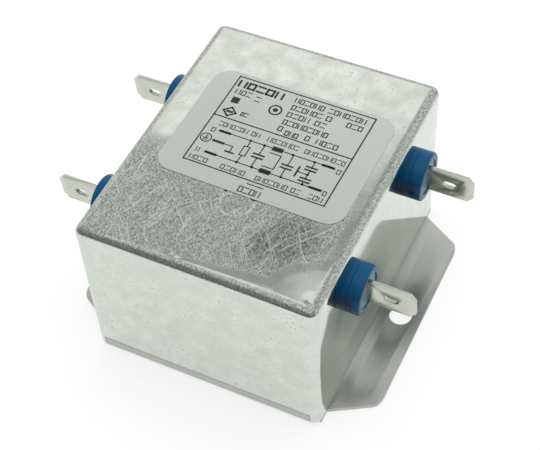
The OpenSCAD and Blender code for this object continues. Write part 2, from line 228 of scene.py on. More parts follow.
def pick(piece, kind, test):
    """In edit mode, selects the corners, edges or faces whose own data pass a test."""
    bpy.ops.object.mode_set(mode="EDIT")
    bpy.ops.mesh.select_mode(type=kind)
    bpy.ops.mesh.select_all(action="DESELECT")
    bpy.ops.object.mode_set(mode="OBJECT")
    mesh = piece.data
    parts = {"VERT": mesh.vertices, "EDGE": mesh.edges, "FACE": mesh.polygons}[kind]
    for part in parts:
        if kind == "EDGE":
            passed = test(*(mesh.vertices[i].co for i in part.vertices))
        elif kind == "FACE":
            passed = test(part.center, part.normal)
        else:
            passed = test(part.co)
        part.select = bool(passed)
    bpy.ops.object.mode_set(mode="EDIT")


def near(value, target):
    """True where two lengths agree to a few micrometres."""
    return abs(value - target) < NEAR


def leave_edit():
    bpy.ops.object.mode_set(mode="OBJECT")


def slice_at(point, normal):
    """In edit mode, cuts the whole mesh along a plane and keeps both sides."""
    bpy.ops.mesh.select_all(action="SELECT")
    bpy.ops.mesh.bisect(plane_co=point, plane_no=normal)


def finish_with(piece, kind, **settings):
    """Adds a modifier to a piece and applies it."""
    bpy.context.view_layer.objects.active = piece
    modifier = piece.modifiers.new(kind.title(), kind)
    for name, value in settings.items():
        setattr(modifier, name, value)
    bpy.ops.object.modifier_apply(modifier=modifier.name)


def cut_away(piece, cutter):
    """Subtracts one object from another, and deletes the cutter."""
    finish_with(piece, "BOOLEAN", object=cutter, operation="DIFFERENCE", solver="EXACT")
    bpy.data.objects.remove(cutter)


def box_between(name, low, high):
    """A box from its lowest to its highest corner, with its place in its mesh."""
    made = start(bpy.ops.mesh.primitive_cube_add, name, size=1, location=(low + high) / 2)
    made.scale = high - low
    bpy.ops.object.transform_apply(location=True, rotation=True, scale=True)
    return made


def smooth(piece, degrees):
    """Smooth shading, with edges sharper than an angle left crisp."""
    bpy.ops.object.select_all(action="DESELECT")
    piece.select_set(True)
    bpy.context.view_layer.objects.active = piece
    bpy.ops.object.shade_smooth_by_angle(angle=math.radians(degrees))


def finish_piece(piece, material, slot, *nodes):
    """Gives a piece its finish, ties it to the frame, and says how many faces it has."""
    piece.data.materials.clear()
    piece.data.materials.append(material)
    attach(piece, "root")
    if nodes:
        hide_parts(*nodes)
    print(f"{piece.name}: {len(piece.data.polygons)} faces, {material.name}")


# %% [markdown]
# ## Sizes
#
# Whatever the measured model knows is read from it: the can's box, the lugs' span, the label and
# the terminals. The few values below it are what a box can't tell, such as radii and clearances.

# %% Sizes from the frame
can_low, can_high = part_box("can")
plate_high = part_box("base_plate")[1]
label_low, label_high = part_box("label")
bushing_low, bushing_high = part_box("bushing_load_live")
tab_low, tab_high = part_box("tab_load_live")

SHEET = 0.6 * MM
CORNER = 1.7 * MM
PLATE = 0.8 * MM
FOLD = 1.2 * MM
SEAM = 0.15 * MM
wall_x = can_high.x
top_z = can_high.z
print("can", [round(v / MM, 2) for v in can_high - can_low], "mm")

# %% [markdown]
# ## The drawn can
#
# A drawn can is one sheet pressed into a cup, so its edges and corners are round and its top is a
# little uneven. It could be a plain box with a bump map, but polished metal gives that away: a
# reflection runs along the real surface. So the box is cut into a loose grid, its upper edges and
# upright corners are bevelled round, and the sheet gets its thickness. Its rim stands a hair above
# the base plate, as a cut edge does, and that hair is the dark line at the foot of the walls.

# %% Can: a box without a floor, with round edges
GRID_CUTS = 10
ROUND_STEPS = 6
RIM_GAP = 0.14 * MM

can = box_between("drawn_can", Vector((can_low.x, can_low.y, can_low.z + RIM_GAP)), can_high)
pick(can, "FACE", lambda c, n: n.z < -0.9)
bpy.ops.mesh.delete(type="FACE")
bpy.ops.mesh.select_all(action="SELECT")
bpy.ops.mesh.subdivide(number_cuts=GRID_CUTS)
leave_edit()


def on_side(p, axis):
    return near(abs(p[axis]), can_high[axis])


def outer_edge(a, b):
    """True for the edges of the box that a press would round."""
    upright = all(on_side(p, 0) and on_side(p, 1) for p in (a, b))
    along_x = all(near(p.z, top_z) and on_side(p, 1) for p in (a, b))
    along_y = all(near(p.z, top_z) and on_side(p, 0) for p in (a, b))
    return upright or along_x or along_y


pick(can, "EDGE", outer_edge)
bpy.ops.mesh.bevel(offset=CORNER, offset_type="OFFSET", segments=ROUND_STEPS, profile=0.5)
leave_edit()
finish_with(can, "SOLIDIFY", thickness=SHEET, offset=-1)
print("can:", len(can.data.polygons), "faces before it is cut open")

# %% [markdown]
# The front and back walls stop just above the plate's folded lips. The gap that is left is the
# fine dark seam near the bottom. A box cuts that opening, and cylinders cut the four holes for
# the bushings.

# %% Can: openings
OVERSHOOT = 1 * MM
LIP_LENGTH = can_high.x * 2 - 2 * CORNER
END_GAP = 0.04 * MM
NECK_HOLE_R = 3.3 * MM

lip_half = LIP_LENGTH / 2 + END_GAP
cut_away(can, box_between("cutter", Vector((-lip_half, can_low.y - OVERSHOOT, -OVERSHOOT)),
                          Vector((lip_half, can_high.y + OVERSHOOT, plate_high.z + SEAM))))
terminal_y = abs(bushing_low.y + bushing_high.y) / 2
terminal_z = (bushing_low.z + bushing_high.z) / 2
for row in (-1, 1):
    hole = start(bpy.ops.mesh.primitive_cylinder_add, "cutter", vertices=48, radius=NECK_HOLE_R,
                 depth=3 * wall_x, location=(0, row * terminal_y, terminal_z),
                 rotation=(0, math.pi / 2, 0))
    cut_away(can, hole)
print("can after cutting:", len(can.data.polygons), "faces")

# %% [markdown]
# The top gets a close mesh, because all its small shapes are there: the round mark of the press,
# the sheet rolling off towards the front edge and the front corner, a nick and a V-shaped dent.
# A function gives the depth at each place. Under the label it is zero, so the film lies flat.

# %% Can: the uneven top
TOP_CUTS = 11
MARK = Vector((0.28, -11.4, 0)) * MM
MARK_R = 3.05 * MM
MARK_HALF_WIDTH = 0.62 * MM
MARK_DEPTH = 0.16 * MM
LABEL_MARGIN = 2.5 * MM
WAVE_LENGTH = 13 * MM
WAVE_DEPTH = 0.03 * MM
ROLL_SLOPE = 0.045
ROLL_EASE = 2.0 * MM
ROLL_LINE = -25.8 * MM
ROLL_TILT = 0.12
CORNER_REACH = 11 * MM
DENTS = [(20.5, -25.2, 0.5, 0.10), (21.0, -25.9, 0.45, 0.12), (-3.9, -26.2, 0.55, 0.14),
         (-12.5, -18.2, 2.2, 0.04), (9.5, -17.0, 3.0, 0.05), (17.6, -13.5, 2.6, 0.03)]
front_corner = Vector((can_high.x, can_low.y, 0))


def ease(value, low, high):
    """A smooth step from 0 at low to 1 at high."""
    t = min(max((value - low) / (high - low), 0), 1)
    return t * t * (3 - 2 * t)


def beside_label(x, y):
    """0 on the label, rising to 1 a little way outside it."""
    out_x = max(label_low.x - x, x - label_high.x)
    out_y = max(label_low.y - y, y - label_high.y)
    return ease(max(out_x, out_y), 0, LABEL_MARGIN)


def rolled_off(inside):
    """Depth of a surface that curves over softly and then falls at an even slope."""
    if inside < 0:
        return 0
    if inside < ROLL_EASE:
        return ROLL_SLOPE * inside * inside / (2 * ROLL_EASE)
    return ROLL_SLOPE * (inside - ROLL_EASE / 2)


def top_depth(x, y):
    """How far the top lies below its plane at a place."""
    away = math.hypot(x - MARK.x, y - MARK.y)
    groove = MARK_DEPTH * (1 + math.cos(math.pi * min(abs(away - MARK_R) / MARK_HALF_WIDTH, 1))) / 2
    waves = WAVE_DEPTH * (1 + noise.noise(Vector((x, y, 0)) / WAVE_LENGTH))
    along_front = ROLL_LINE + ROLL_TILT * x - y
    round_corner = CORNER_REACH - math.hypot(x - front_corner.x, y - front_corner.y)
    roll = max(rolled_off(along_front), rolled_off(round_corner))
    dents = sum(depth * MM * math.exp(-((x / MM - cx) ** 2 + (y / MM - cy) ** 2) / (2 * r * r))
                for cx, cy, r, depth in DENTS)
    return groove + beside_label(x, y) * (waves + dents) + roll


def near_mark(c):
    return math.hypot(c.x - MARK.x, c.y - MARK.y) < 5 * MM


pick(can, "FACE", lambda c, n: n.z > 0.99 and near(c.z, top_z))
bpy.ops.mesh.subdivide(number_cuts=TOP_CUTS)
leave_edit()
pick(can, "FACE", lambda c, n: n.z > 0.99 and near(c.z, top_z) and near_mark(c))
bpy.ops.mesh.subdivide(number_cuts=1)
leave_edit()
for corner in can.data.vertices:
    share = (corner.co.z - (top_z - CORNER)) / CORNER
    if share > 0.75 or (share > 0 and not near(corner.co.z, top_z - SHEET)):
        corner.co.z -= min(share, 1) * top_depth(corner.co.x, corner.co.y)
smooth(can, 35)
print("can:", len(can.data.polygons), "faces")

# %% [markdown]
# ## Tin plate
#
# Tin plate is thin steel with a bright coat of tin: a cool, slightly greenish white metal that
# mirrors almost like glass where nobody has touched it, as on the walls. The top has been slid
# over other parts. There the coat is dull and grainy over most of the front half, with long
# curved hairlines in it, and its colour there is also painted darker, as painted shade for the
# darker room that half mirrors. Where the sheet rolls off to the edge it is left out of that and
# stays bright, and the round rim itself is coloured greyer. First come the places: each is a soft
# step along a direction or round a point, and a slow noise makes the borders wander.

# %% Tin plate: where it is rubbed, and where it is painted darker
WANDER = 3 * MM
RUBBED_SHADED_FROM, RUBBED_SHADED_FULLY = 1 * MM, -9 * MM
BARE_SIDE = (20.4 * MM, 19.2 * MM)
CREASE_SLOPE = -0.506
CREASE_AT = 15 * MM
PATCH_AT = Vector((10.5 * MM, -16.5 * MM, top_z))
PATCH_REACH = (7.5 * MM, 3 * MM)
TOP_BAND = (top_z - 0.8 * MM, top_z - 0.5 * MM)
ROLL_BORDER = (ROLL_LINE - 0.6 * MM, ROLL_LINE + 0.8 * MM)
CORNER_BORDER = (CORNER_REACH - 1.2 * MM, CORNER_REACH + 1.6 * MM)
CREASE_BORDER = (CREASE_AT - 0.3 * MM, CREASE_AT + 0.3 * MM)
RIM_WIDTH = (-1.9 * MM, -1.2 * MM)
RIM_HEIGHT = (-1.3 * MM, -0.9 * MM)

tin_plate, tree, shader, place = new_material("tin plate, scuffed")
x, y, z = add_node(tree, "ShaderNodeSeparateXYZ", {0: place}).outputs
on_top = add_node(tree, "ShaderNodeMapRange", {0: z, 1: TOP_BAND[0], 2: TOP_BAND[1]}, **SOFT)
drift = add_node(tree, "ShaderNodeTexNoise", {"Vector": place, "Scale": PER_MM / 6, "Detail": 3})
wander = add_node(tree, "ShaderNodeMapRange", {0: drift, 1: 0.2, 2: 0.8, 3: -WANDER, 4: WANDER})
y_wander = add_node(tree, "ShaderNodeMath", {0: y, 1: wander}, operation="ADD")
# The front half of the top is rubbed, and its colour there is also painted darker as painted shade.
front_half = add_node(tree, "ShaderNodeMapRange", {0: y_wander, 1: RUBBED_SHADED_FROM, 2: RUBBED_SHADED_FULLY}, **SOFT)
tilted = add_node(tree, "ShaderNodeMath", {0: x, 1: -ROLL_TILT, 2: y}, operation="MULTIPLY_ADD")
behind_roll = add_node(tree, "ShaderNodeMapRange",
                       {0: tilted, 1: ROLL_BORDER[0], 2: ROLL_BORDER[1]}, **SOFT)
from_corner = add_node(tree, "ShaderNodeVectorMath",
                       {0: place, 1: front_corner + Vector((0, 0, top_z))}, operation="DISTANCE")
ragged = add_node(tree, "ShaderNodeMath", {0: from_corner.outputs["Value"], 1: wander}, operation="ADD")
off_corner = add_node(tree, "ShaderNodeMapRange",
                      {0: ragged, 1: CORNER_BORDER[0], 2: CORNER_BORDER[1]}, **SOFT)
off_right = add_node(tree, "ShaderNodeMapRange", {0: x, 1: BARE_SIDE[0], 2: BARE_SIDE[1]}, **SOFT)
rubbed_and_shaded = add_node(tree, "ShaderNodeMath", {0: on_top, 1: front_half}, operation="MULTIPLY")
for limit in (behind_roll, off_corner, off_right):
    rubbed_and_shaded = add_node(tree, "ShaderNodeMath", {0: rubbed_and_shaded, 1: limit}, operation="MULTIPLY")
# Past a slanted line and round a patch the front half is darker still: partly wear, partly painted shade.
crease = add_node(tree, "ShaderNodeMath", {0: y, 1: CREASE_SLOPE, 2: x}, operation="MULTIPLY_ADD")
past_crease = add_node(tree, "ShaderNodeMapRange",
                       {0: crease, 1: CREASE_BORDER[0], 2: CREASE_BORDER[1]}, **SOFT)
from_patch = add_node(tree, "ShaderNodeVectorMath", {0: place, 1: PATCH_AT}, operation="DISTANCE")
ragged_patch = add_node(tree, "ShaderNodeMath", {0: from_patch.outputs["Value"], 1: wander},
                        operation="ADD")
patch = add_node(tree, "ShaderNodeMapRange",
                 {0: ragged_patch, 1: PATCH_REACH[0], 2: PATCH_REACH[1]}, **SOFT)
darkest = add_node(tree, "ShaderNodeMath", {0: past_crease, 1: patch}, operation="MULTIPLY")
out = add_node(tree, "ShaderNodeVectorMath", {0: place}, operation="ABSOLUTE")
off_side = add_node(tree, "ShaderNodeVectorMath", {0: out, 1: can_high}, operation="SUBTRACT")
side_x, side_y, side_z = add_node(tree, "ShaderNodeSeparateXYZ", {0: off_side}).outputs
at_side = add_node(tree, "ShaderNodeMath", {0: side_x, 1: side_y}, operation="MAXIMUM")
# The round rim of the top is coloured greyer.
at_edge = add_node(tree, "ShaderNodeMapRange", {0: at_side, 1: RIM_WIDTH[0], 2: RIM_WIDTH[1]}, **SOFT)
high_up = add_node(tree, "ShaderNodeMapRange", {0: side_z, 1: RIM_HEIGHT[0], 2: RIM_HEIGHT[1]}, **SOFT)
greyer_rim = add_node(tree, "ShaderNodeMath", {0: at_edge, 1: high_up}, operation="MULTIPLY")
print("places on the can:", len(tree.nodes), "nodes")

# %% [markdown]
# The grain is a noise whose spots are a quarter of a millimetre wide, stretched to full contrast
# and drawn out from front to back, the way the can was pushed.
# Hairlines are another noise, squeezed across and drawn out along its length until only thin
# streaks stay. Bending the coordinates first makes them curve, as a wrist does.

# %% Tin plate: grain, hairlines and flecks
GRAIN = 0.26
STROKE = 0.55
HAIR_WIDTH = 0.24
HAIR_LENGTH = 8.0
HAIR_DIRECTIONS = (-84, -58, -128)
HAIR_STRENGTH = 0.55

rubbed_along = add_node(tree, "ShaderNodeMapping", {0: place, 3: (1, STROKE, 1)})
grain_noise = add_node(tree, "ShaderNodeTexNoise",
                       {"Vector": rubbed_along, "Scale": PER_MM / GRAIN, "Detail": 2})
grain = add_node(tree, "ShaderNodeMapRange", {0: grain_noise, 1: 0.36, 2: 0.64})
bend = add_node(tree, "ShaderNodeTexNoise", {"Vector": place, "Scale": PER_MM / 14, "Detail": 1})
centred = add_node(tree, "ShaderNodeVectorMath", {0: bend.outputs["Color"], 1: (0.5, 0.5, 0.5)},
                   operation="SUBTRACT")
bent = add_node(tree, "ShaderNodeVectorMath", {0: centred, 1: (6 * MM, 6 * MM, 0), 2: place},
                operation="MULTIPLY_ADD")
hairlines = None
for degrees in HAIR_DIRECTIONS:
    turned = add_node(tree, "ShaderNodeMapping", {0: bent, 2: (0, 0, math.radians(degrees))})
    drawn = add_node(tree, "ShaderNodeMapping", {0: turned, 3: (HAIR_WIDTH / HAIR_LENGTH, 1, 1)})
    streaks = add_node(tree, "ShaderNodeTexNoise",
                       {"Vector": drawn, "Scale": PER_MM / HAIR_WIDTH, "Detail": 1})
    lines = add_node(tree, "ShaderNodeMapRange", {0: streaks, 1: 0.60, 2: 0.72, 4: HAIR_STRENGTH})
    hairlines = lines if hairlines is None else add_node(
        tree, "ShaderNodeMath", {0: hairlines, 1: lines}, operation="MAXIMUM")
hair_on_rubbed = add_node(tree, "ShaderNodeMath", {0: hairlines, 1: rubbed_and_shaded}, operation="MULTIPLY")
cloud_noise = add_node(tree, "ShaderNodeTexNoise", {"Vector": place, "Scale": PER_MM / 3.2, "Detail": 5})
cloud = add_node(tree, "ShaderNodeMapRange", {0: cloud_noise, 1: 0.3, 2: 0.7})
fleck_noise = add_node(tree, "ShaderNodeTexNoise", {"Vector": place, "Scale": PER_MM / 0.5, "Detail": 3,
                                                    "Roughness": 0.7})
fleck = add_node(tree, "ShaderNodeMapRange", {0: fleck_noise, 1: 0.58, 2: 0.70})
fleck = add_node(tree, "ShaderNodeMath", {0: fleck, 1: cloud}, operation="MULTIPLY")
print("with grain and hairlines:", len(tree.nodes), "nodes")

# %% [markdown]
# Colours go from clean to worn and shaded in steps, each laid over the last through its mask. The
# walls are painted a shade darker than the top, as painted shade. The bump uses the same grain and
# hairlines, so that light catches what the colour shows.

# %% Tin plate: colour, gloss and relief
# The walls' colours are painted a shade darker than the top's: painted shade.
smudged = add_node(tree, "ShaderNodeMix", {0: on_top, 6: linear("#c6cec5"), 7: linear("#ccd1c8")}, **COLOUR)
clear = add_node(tree, "ShaderNodeMix", {0: on_top, 6: linear("#d6dcd4"), 7: linear("#e6e9e2")}, **COLOUR)
clean = add_node(tree, "ShaderNodeMix", {0: cloud, 6: smudged.outputs[2], 7: clear.outputs[2]}, **COLOUR)
flecked = add_node(tree, "ShaderNodeMix", {0: fleck, 6: clean.outputs[2], 7: linear("#98a094")}, **COLOUR)
# The dull and dark colours of the front half are partly grain and wear, partly painted shade.
dull = add_node(tree, "ShaderNodeMix", {0: grain, 6: linear("#868b85"), 7: linear("#c6cac4")}, **COLOUR)
dark = add_node(tree, "ShaderNodeMix", {0: grain, 6: linear("#5c605c"), 7: linear("#a8aca6")}, **COLOUR)
worn_and_shaded = add_node(tree, "ShaderNodeMix", {0: darkest, 6: dull.outputs[2], 7: dark.outputs[2]}, **COLOUR)
edge = add_node(tree, "ShaderNodeMix", {0: grain, 6: linear("#8d918b"), 7: linear("#c2c6c0")}, **COLOUR)
edged = add_node(tree, "ShaderNodeMix", {0: greyer_rim, 6: flecked.outputs[2], 7: edge.outputs[2]}, **COLOUR)
colour = add_node(tree, "ShaderNodeMix", {0: rubbed_and_shaded, 6: edged.outputs[2], 7: worn_and_shaded.outputs[2]}, **COLOUR)
colour = add_node(tree, "ShaderNodeMix", {0: hair_on_rubbed, 6: colour.outputs[2], 7: linear("#e6e9e4")},
                  **COLOUR)
tree.links.new(colour.outputs[2], shader.inputs["Base Color"])
scuffed = add_node(tree, "ShaderNodeMath", {0: rubbed_and_shaded, 1: greyer_rim}, operation="MAXIMUM")
rough = add_node(tree, "ShaderNodeMapRange", {0: scuffed, 3: 0.07, 4: 0.26})
tree.links.new(rough.outputs[0], shader.inputs["Roughness"])
grain_on_rubbed = add_node(tree, "ShaderNodeMath", {0: grain, 1: rubbed_and_shaded}, operation="MULTIPLY")
relief = add_node(tree, "ShaderNodeMath", {0: grain_on_rubbed, 1: hair_on_rubbed}, operation="ADD")
bump = add_node(tree, "ShaderNodeBump", {"Height": relief, "Strength": 0.5, "Distance": 0.02 * MM})
tree.links.new(bump.outputs[0], shader.inputs["Normal"])
shader.inputs["Metallic"].default_value = 1
finish_piece(can, tin_plate, "tinned_steel", "can")

# %% [markdown]
# ## The base plate
#
# Sheet metal is best made as sheet metal: one flat plane is cut where it will be folded, its lugs
# and lips are pulled out of its edges, the folds are rounded, and only then does it get its
# thickness. That keeps the same thickness round every fold, as in the real blank.

# %% Base plate: the flat blank with lugs and lips
LUG_ROOT_HALF = 24.6 * MM
LUG_TIP_HALF = 19.7 * MM
LUG_CORNER = 2.0 * MM
LUG_STEPS = 8
HOLE_X = 27 * MM
HOLE_R = 2.15 * MM
BLANK_EDGE = 0.07 * MM

plate = start(bpy.ops.mesh.primitive_plane_add, "folded_base_plate", size=1)
plate.scale = (2 * wall_x, 2 * (can_high.y - FOLD), 1)
bpy.ops.object.transform_apply(location=True, rotation=True, scale=True)
bpy.ops.object.mode_set(mode="EDIT")
for side in (-1, 1):
    slice_at((side * LIP_LENGTH / 2, 0, 0), (1, 0, 0))
    slice_at((0, side * LUG_ROOT_HALF, 0), (0, 1, 0))
leave_edit()
lug_reach = plate_high.x - wall_x
for side in (-1, 1):
    root = side * wall_x
    pick(plate, "EDGE", lambda a, b: near(a.x, root) and near(b.x, root)
         and max(abs(a.y), abs(b.y)) < LUG_ROOT_HALF + NEAR)
    halves = [LUG_ROOT_HALF + (LUG_TIP_HALF - LUG_ROOT_HALF) * step / LUG_STEPS
              for step in range(LUG_STEPS + 1)]
    for half, next_half in zip(halves, halves[1:]):
        bpy.ops.mesh.extrude_region_move(
            TRANSFORM_OT_translate={"value": (side * lug_reach / LUG_STEPS, 0, 0)})
        bpy.ops.transform.resize(value=(1, next_half / half, 1), center_override=(0, 0, 0))
    leave_edit()
print("over the lugs:", round(2 * max(v.co.x for v in plate.data.vertices) / MM, 2), "mm")

# %% Base plate: lips, folds and thickness
for side in (-1, 1):
    edge_y = side * (can_high.y - FOLD)
    pick(plate, "EDGE", lambda a, b: near(a.y, edge_y) and near(b.y, edge_y)
         and max(abs(a.x), abs(b.x)) < LIP_LENGTH / 2 + NEAR)
    bpy.ops.mesh.extrude_region_move(TRANSFORM_OT_translate={"value": (0, side * FOLD, 0)})
    bpy.ops.mesh.extrude_region_move(TRANSFORM_OT_translate={"value": (0, 0, plate_high.z)})
    leave_edit()
pick(plate, "EDGE", lambda a, b: near(abs(a.y), can_high.y) and near(abs(b.y), can_high.y)
     and near(a.z, 0) and near(b.z, 0))
bpy.ops.mesh.bevel(offset=FOLD, segments=5, profile=0.5)
leave_edit()
pick(plate, "VERT", lambda p: near(abs(p.x), plate_high.x) and near(abs(p.y), LUG_TIP_HALF))
bpy.ops.mesh.bevel(offset=LUG_CORNER, segments=6, affect="VERTICES")
bpy.ops.mesh.select_all(action="SELECT")
bpy.ops.mesh.normals_make_consistent(inside=False)
leave_edit()
middle_face = min(plate.data.polygons, key=lambda f: f.center.length)
if middle_face.normal.z > 0:
    bpy.ops.object.mode_set(mode="EDIT")
    bpy.ops.mesh.flip_normals()
    leave_edit()
finish_with(plate, "SOLIDIFY", thickness=PLATE, offset=-1)

# %% [markdown]
# The holes are cut, and a narrow bevel takes the hard edge off the blank, as tumbling does.

# %% Base plate: holes and edges
for side in (-1, 1):
    drill = start(bpy.ops.mesh.primitive_cylinder_add, "cutter", vertices=64, radius=HOLE_R,
                  depth=6 * PLATE, location=(side * HOLE_X, 0, 0))
    cut_away(plate, drill)
finish_with(plate, "BEVEL", width=BLANK_EDGE, segments=2, limit_method="ANGLE",
            angle_limit=math.radians(50))
smooth(plate, 40)

# %% [markdown]
# The plate is the same tin plate in a plainer quality: rolled matt, so it holds a soft image of
# the walls and the sky instead of a sharp one. Round the screw holes it is painted greyer, as a
# painted reflection and shadow of the tab above.

# %% Finish: matt tin plate
TAB_MIRROR_TO, TAB_MIRROR_FULLY = 12 * MM, 2 * MM

matt_tin, tree, shader, place = new_material("tin plate, rolled matt")
cloud_noise = add_node(tree, "ShaderNodeTexNoise", {"Vector": place, "Scale": PER_MM / 7, "Detail": 4})
cloud = add_node(tree, "ShaderNodeMapRange", {0: cloud_noise, 1: 0.35, 2: 0.65})
folded = add_node(tree, "ShaderNodeVectorMath", {0: place}, operation="ABSOLUTE")
from_hole = add_node(tree, "ShaderNodeVectorMath", {0: folded, 1: (HOLE_X, 0, 0)}, operation="DISTANCE")
# Round each hole the colour is painted greyer: painted reflection and shadow of the tab.
painted_tab_shade = add_node(tree, "ShaderNodeMapRange",
                   {0: from_hole.outputs["Value"], 1: TAB_MIRROR_TO, 2: TAB_MIRROR_FULLY}, **SOFT)
even = add_node(tree, "ShaderNodeMix", {0: cloud, 6: linear("#b3b6b0"), 7: linear("#bdc0ba")}, **COLOUR)
colour = add_node(tree, "ShaderNodeMix", {0: painted_tab_shade, 6: even.outputs[2], 7: linear("#8f9491")}, **COLOUR)
tree.links.new(colour.outputs[2], shader.inputs["Base Color"])
rough = add_node(tree, "ShaderNodeMapRange", {0: cloud, 3: 0.30, 4: 0.38})
tree.links.new(rough.outputs[0], shader.inputs["Roughness"])
rolled = add_node(tree, "ShaderNodeMapping", {0: place, 3: (1, 0.1, 1)})
roll_lines = add_node(tree, "ShaderNodeTexNoise", {"Vector": rolled, "Scale": PER_MM / 0.5, "Detail": 2})
bump = add_node(tree, "ShaderNodeBump",
                {"Height": roll_lines, "Strength": 0.12, "Distance": 0.01 * MM})
tree.links.new(bump.outputs[0], shader.inputs["Normal"])
shader.inputs["Metallic"].default_value = 1
finish_piece(plate, matt_tin, "plate_steel", "base_plate")

# %% [markdown]
# ## The label
#
# The label is a grey polyester film, a tenth of a millimetre thick, with generously rounded
# corners. It is a thin box with its upright edges bevelled round and its rim softened, turned by
# not quite one degree, as if put on by hand.

# %% Label film
LABEL_W, LABEL_H = 36.1 * MM, 26.6 * MM
LABEL_TURN = math.radians(-0.9)
LABEL_CORNER = 3.4 * MM
LABEL_RIM = 0.03 * MM

label_middle = (label_low + label_high) / 2
label_thick = label_high.z - label_low.z
film = box_between("label_film", Vector((-LABEL_W / 2, -LABEL_H / 2, 0)),
                   Vector((LABEL_W / 2, LABEL_H / 2, label_thick)))
pick(film, "EDGE", lambda a, b: near(a.x, b.x) and near(a.y, b.y))
bpy.ops.mesh.bevel(offset=LABEL_CORNER, segments=12)
leave_edit()
pick(film, "EDGE", lambda a, b: near(a.z, label_thick) and near(b.z, label_thick))
bpy.ops.mesh.bevel(offset=LABEL_RIM, segments=2)
leave_edit()
label_place = (Matrix.Translation((label_middle.x, label_middle.y, label_low.z))
               @ Matrix.Rotation(LABEL_TURN, 4, "Z"))
film.data.transform(label_place)
smooth(film, 40)

grey_film, tree, shader, place = new_material("polyester film, satin grey")
cloud_noise = add_node(tree, "ShaderNodeTexNoise", {"Vector": place, "Scale": PER_MM / 5, "Detail": 3})
colour = add_node(tree, "ShaderNodeMix", {0: cloud_noise, 6: linear("#bec4be"), 7: linear("#c4cac4")},
                  **COLOUR)
tree.links.new(colour.outputs[2], shader.inputs["Base Color"])
rough = add_node(tree, "ShaderNodeMapRange", {0: cloud_noise, 3: 0.42, 4: 0.5})
tree.links.new(rough.outputs[0], shader.inputs["Roughness"])
satin = add_node(tree, "ShaderNodeTexNoise", {"Vector": place, "Scale": PER_MM / 0.4, "Detail": 2})
bump = add_node(tree, "ShaderNodeBump", {"Height": satin, "Strength": 0.08, "Distance": 0.01 * MM})
tree.links.new(bump.outputs[0], shader.inputs["Normal"])
shader.inputs["Specular IOR Level"].default_value = 0.35
finish_piece(film, grey_film, "label_film", "label")

# %% [markdown]
# The print is near-black ink. What such a film says in words is left as rows of plain shapes: a
# hollow box, two posts or two bars in each letter's room. The drawing of the circuit keeps only
# the symbols of any textbook: resistor, capacitors, two coupled coils and earth. Everything is a
# flat stroke or disc, laid out in shares of the frame's width and height from its upper left.

# %% Label print: strokes and discs
PRINT_W, PRINT_H = 27.3 * MM, 22.2 * MM
PRINT_SHIFT = Vector((0.12, 1.28, 0)) * MM
INK = 0.015 * MM
RULE = 0.26 * MM
THIN = 0.21 * MM
BOLD = 0.55 * MM
strokes = []


def spot(u, v):
    """The place on the label of a share across and a share down the frame."""
    return Vector(((u - 0.5) * PRINT_W, (0.5 - v) * PRINT_H, 0)) + PRINT_SHIFT


def stroke(start_at, end_at, width, square_ends=True):
    """A straight stroke of ink between two spots."""
    a, b = spot(*start_at), spot(*end_at)
    along = b - a
    bpy.ops.mesh.primitive_plane_add(size=1, location=(a + b) / 2,
                                     rotation=(0, 0, math.atan2(along.y, along.x)))
    made = bpy.context.object
    made.scale = (along.length + (width if square_ends else 0), width, 1)
    strokes.append(made)


def polyline(spots, width=THIN):
    for a, b in zip(spots, spots[1:]):
        stroke(a, b, width)


def disc(u, v, radius):
    bpy.ops.mesh.primitive_circle_add(vertices=24, radius=radius, fill_type="NGON", location=spot(u, v))
    strokes.append(bpy.context.object)


def ring(u, v, radius, width):
    """A disc with its middle taken out."""
    disc(u, v, radius)
    bpy.ops.object.mode_set(mode="EDIT")
    bpy.ops.mesh.select_all(action="SELECT")
    bpy.ops.mesh.inset(thickness=width)
    bpy.ops.mesh.delete(type="FACE")
    leave_edit()


# %% Label print: rows of plain shapes
LETTER_FILL = 0.66


def word(u_from, u_to, v, tall=1.25 * MM, pitch=1.05 * MM, pen=THIN):
    """Plain shapes in place of a word: hollow boxes, pairs of posts and pairs of bars."""
    count = max(1, round((u_to - u_from) * PRINT_W / pitch))
    step = (u_to - u_from) / count
    half_v = (tall - pen) / 2 / PRINT_H
    for i in range(count):
        centre = u_from + step * (i + 0.5)
        left = centre - step * LETTER_FILL / 2
        right = centre + step * LETTER_FILL / 2
        shape = (i * 5 + round(u_from * 40)) % 4
        if shape < 3:
            stroke((left, v - half_v), (left, v + half_v), pen)
            stroke((right, v - half_v), (right, v + half_v), pen)
        if shape != 1:
            stroke((left, v - half_v), (right, v - half_v), pen)
            stroke((left, v + half_v), (right, v + half_v), pen)


HEAD_ROWS = [(0.015, 0.36, 0.075, 1.75, 1.85, 0.42), (0.03, 0.155, 0.168, 1.25, 1.0, 0.2),
             (0.18, 0.235, 0.185, 1.25, 1.1, 0.2)]
DATA_ROWS = [(0.435, 0.655, 0.065), (0.68, 0.955, 0.065), (0.44, 0.67, 0.15), (0.69, 0.74, 0.15),
             (0.84, 0.96, 0.15), (0.44, 0.61, 0.235), (0.64, 0.73, 0.235), (0.445, 0.775, 0.325),
             (0.44, 0.48, 0.405), (0.50, 0.60, 0.43), (0.64, 0.68, 0.415), (0.72, 0.88, 0.415)]
VALUE_ROWS = [(0.066, 0.285, 0.545), (0.305, 0.374, 0.545), (0.424, 0.655, 0.545),
              (0.69, 0.98, 0.545), (0.025, 0.16, 0.955), (0.25, 0.43, 0.955), (0.50, 0.73, 0.955),
              (0.75, 0.82, 0.955), (0.87, 0.975, 0.955), (0.045, 0.08, 0.63), (0.035, 0.065, 0.87),
              (0.95, 0.985, 0.64), (0.945, 0.975, 0.885)]
for u_from, u_to, v, tall, pitch, pen in HEAD_ROWS:
    word(u_from, u_to, v, tall * MM, pitch * MM, pen * MM)
for u_from, u_to, v in DATA_ROWS:
    word(u_from, u_to, v)
